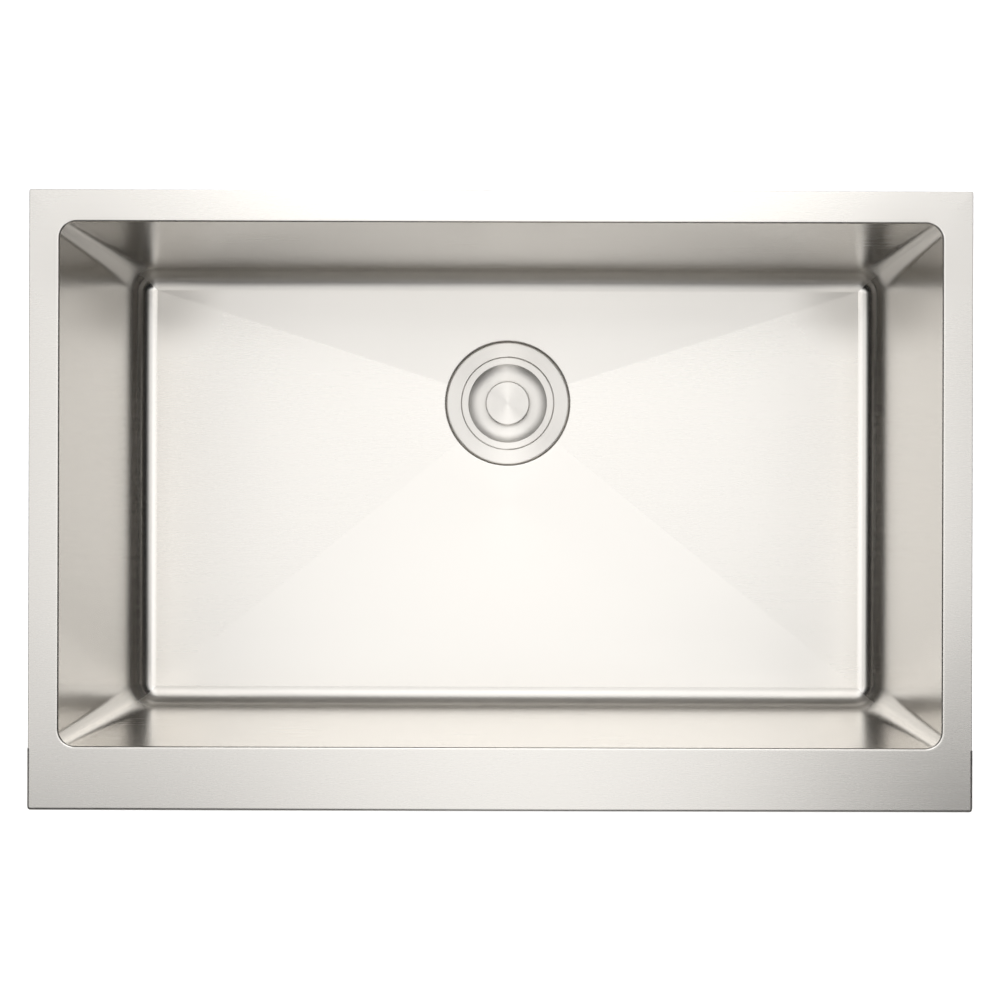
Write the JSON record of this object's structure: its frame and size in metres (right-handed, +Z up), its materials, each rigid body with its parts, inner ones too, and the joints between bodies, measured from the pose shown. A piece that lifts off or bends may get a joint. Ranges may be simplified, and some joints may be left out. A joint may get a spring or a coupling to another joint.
{
  "type": "kitchen sink",
  "caption": "Apron-front stainless steel kitchen sink for undermounting: one deep square bowl, flat rim, rear drain with a lift-out basket strainer and pull-up stopper.",
  "frame": {"origin": "centre of the bowl opening, level with the top of the rim", "axes": "+X to the right along the long side, +Y to the back, away from the apron, +Z up out of the bowl"},
  "size_m": [0.762, 0.5002, 0.411],
  "materials": {
    "sink_steel": "satin brushed stainless steel, 1.5 mm sheet",
    "drain_steel": "circular-brushed stainless steel",
    "post_steel": "bright turned stainless steel",
    "nut_metal": "dull grey die-cast zinc",
    "plated_brass": "chrome-plated brass",
    "sound_pad": "matte sound-deadening rubber",
    "seal_rubber": "matte black rubber",
    "slip_fibre": "pressed fibre board",
    "nylon": "off-white nylon"
  },
  "bodies": {
    "root": {"bowl_walls": "sink_steel", "bowl_floor": "sink_steel", "rim_deck": "sink_steel", "apron_panel": "sink_steel", "pad_wall_left": "sound_pad", "pad_wall_right": "sound_pad", "pad_wall_back": "sound_pad", "pad_wall_front": "sound_pad", "pad_apron": "sound_pad", "pad_floor_left": "sound_pad", "pad_floor_right": "sound_pad", "pad_floor_front": "sound_pad", "strainer_cup": "drain_steel", "outlet_spud": "drain_steel", "crosspiece": "drain_steel", "flange_gasket": "seal_rubber", "rubber_washer": "seal_rubber", "friction_washer": "slip_fibre", "locknut": "nut_metal", "slip_nut": "plated_brass", "tailpiece": "plated_brass", "tail_washer": "nylon"},
    "strainer_basket": {"basket": "drain_steel", "basket_bush": "nylon"},
    "stopper": {"knob": "drain_steel", "post": "post_steel", "stopper_seal": "seal_rubber", "seal_washer": "post_steel", "stem_nut": "post_steel"}
  },
  "joints": [
    {"name": "basket_lift", "type": "slide", "parent": "root", "child": "strainer_basket", "axis": [0, 0, 1], "range_m": [0, 0.3]},
    {"name": "stopper_pull", "type": "slide", "parent": "strainer_basket", "child": "stopper", "axis": [0, 0, 1], "range_m": [0, 0.008]}
  ]
}
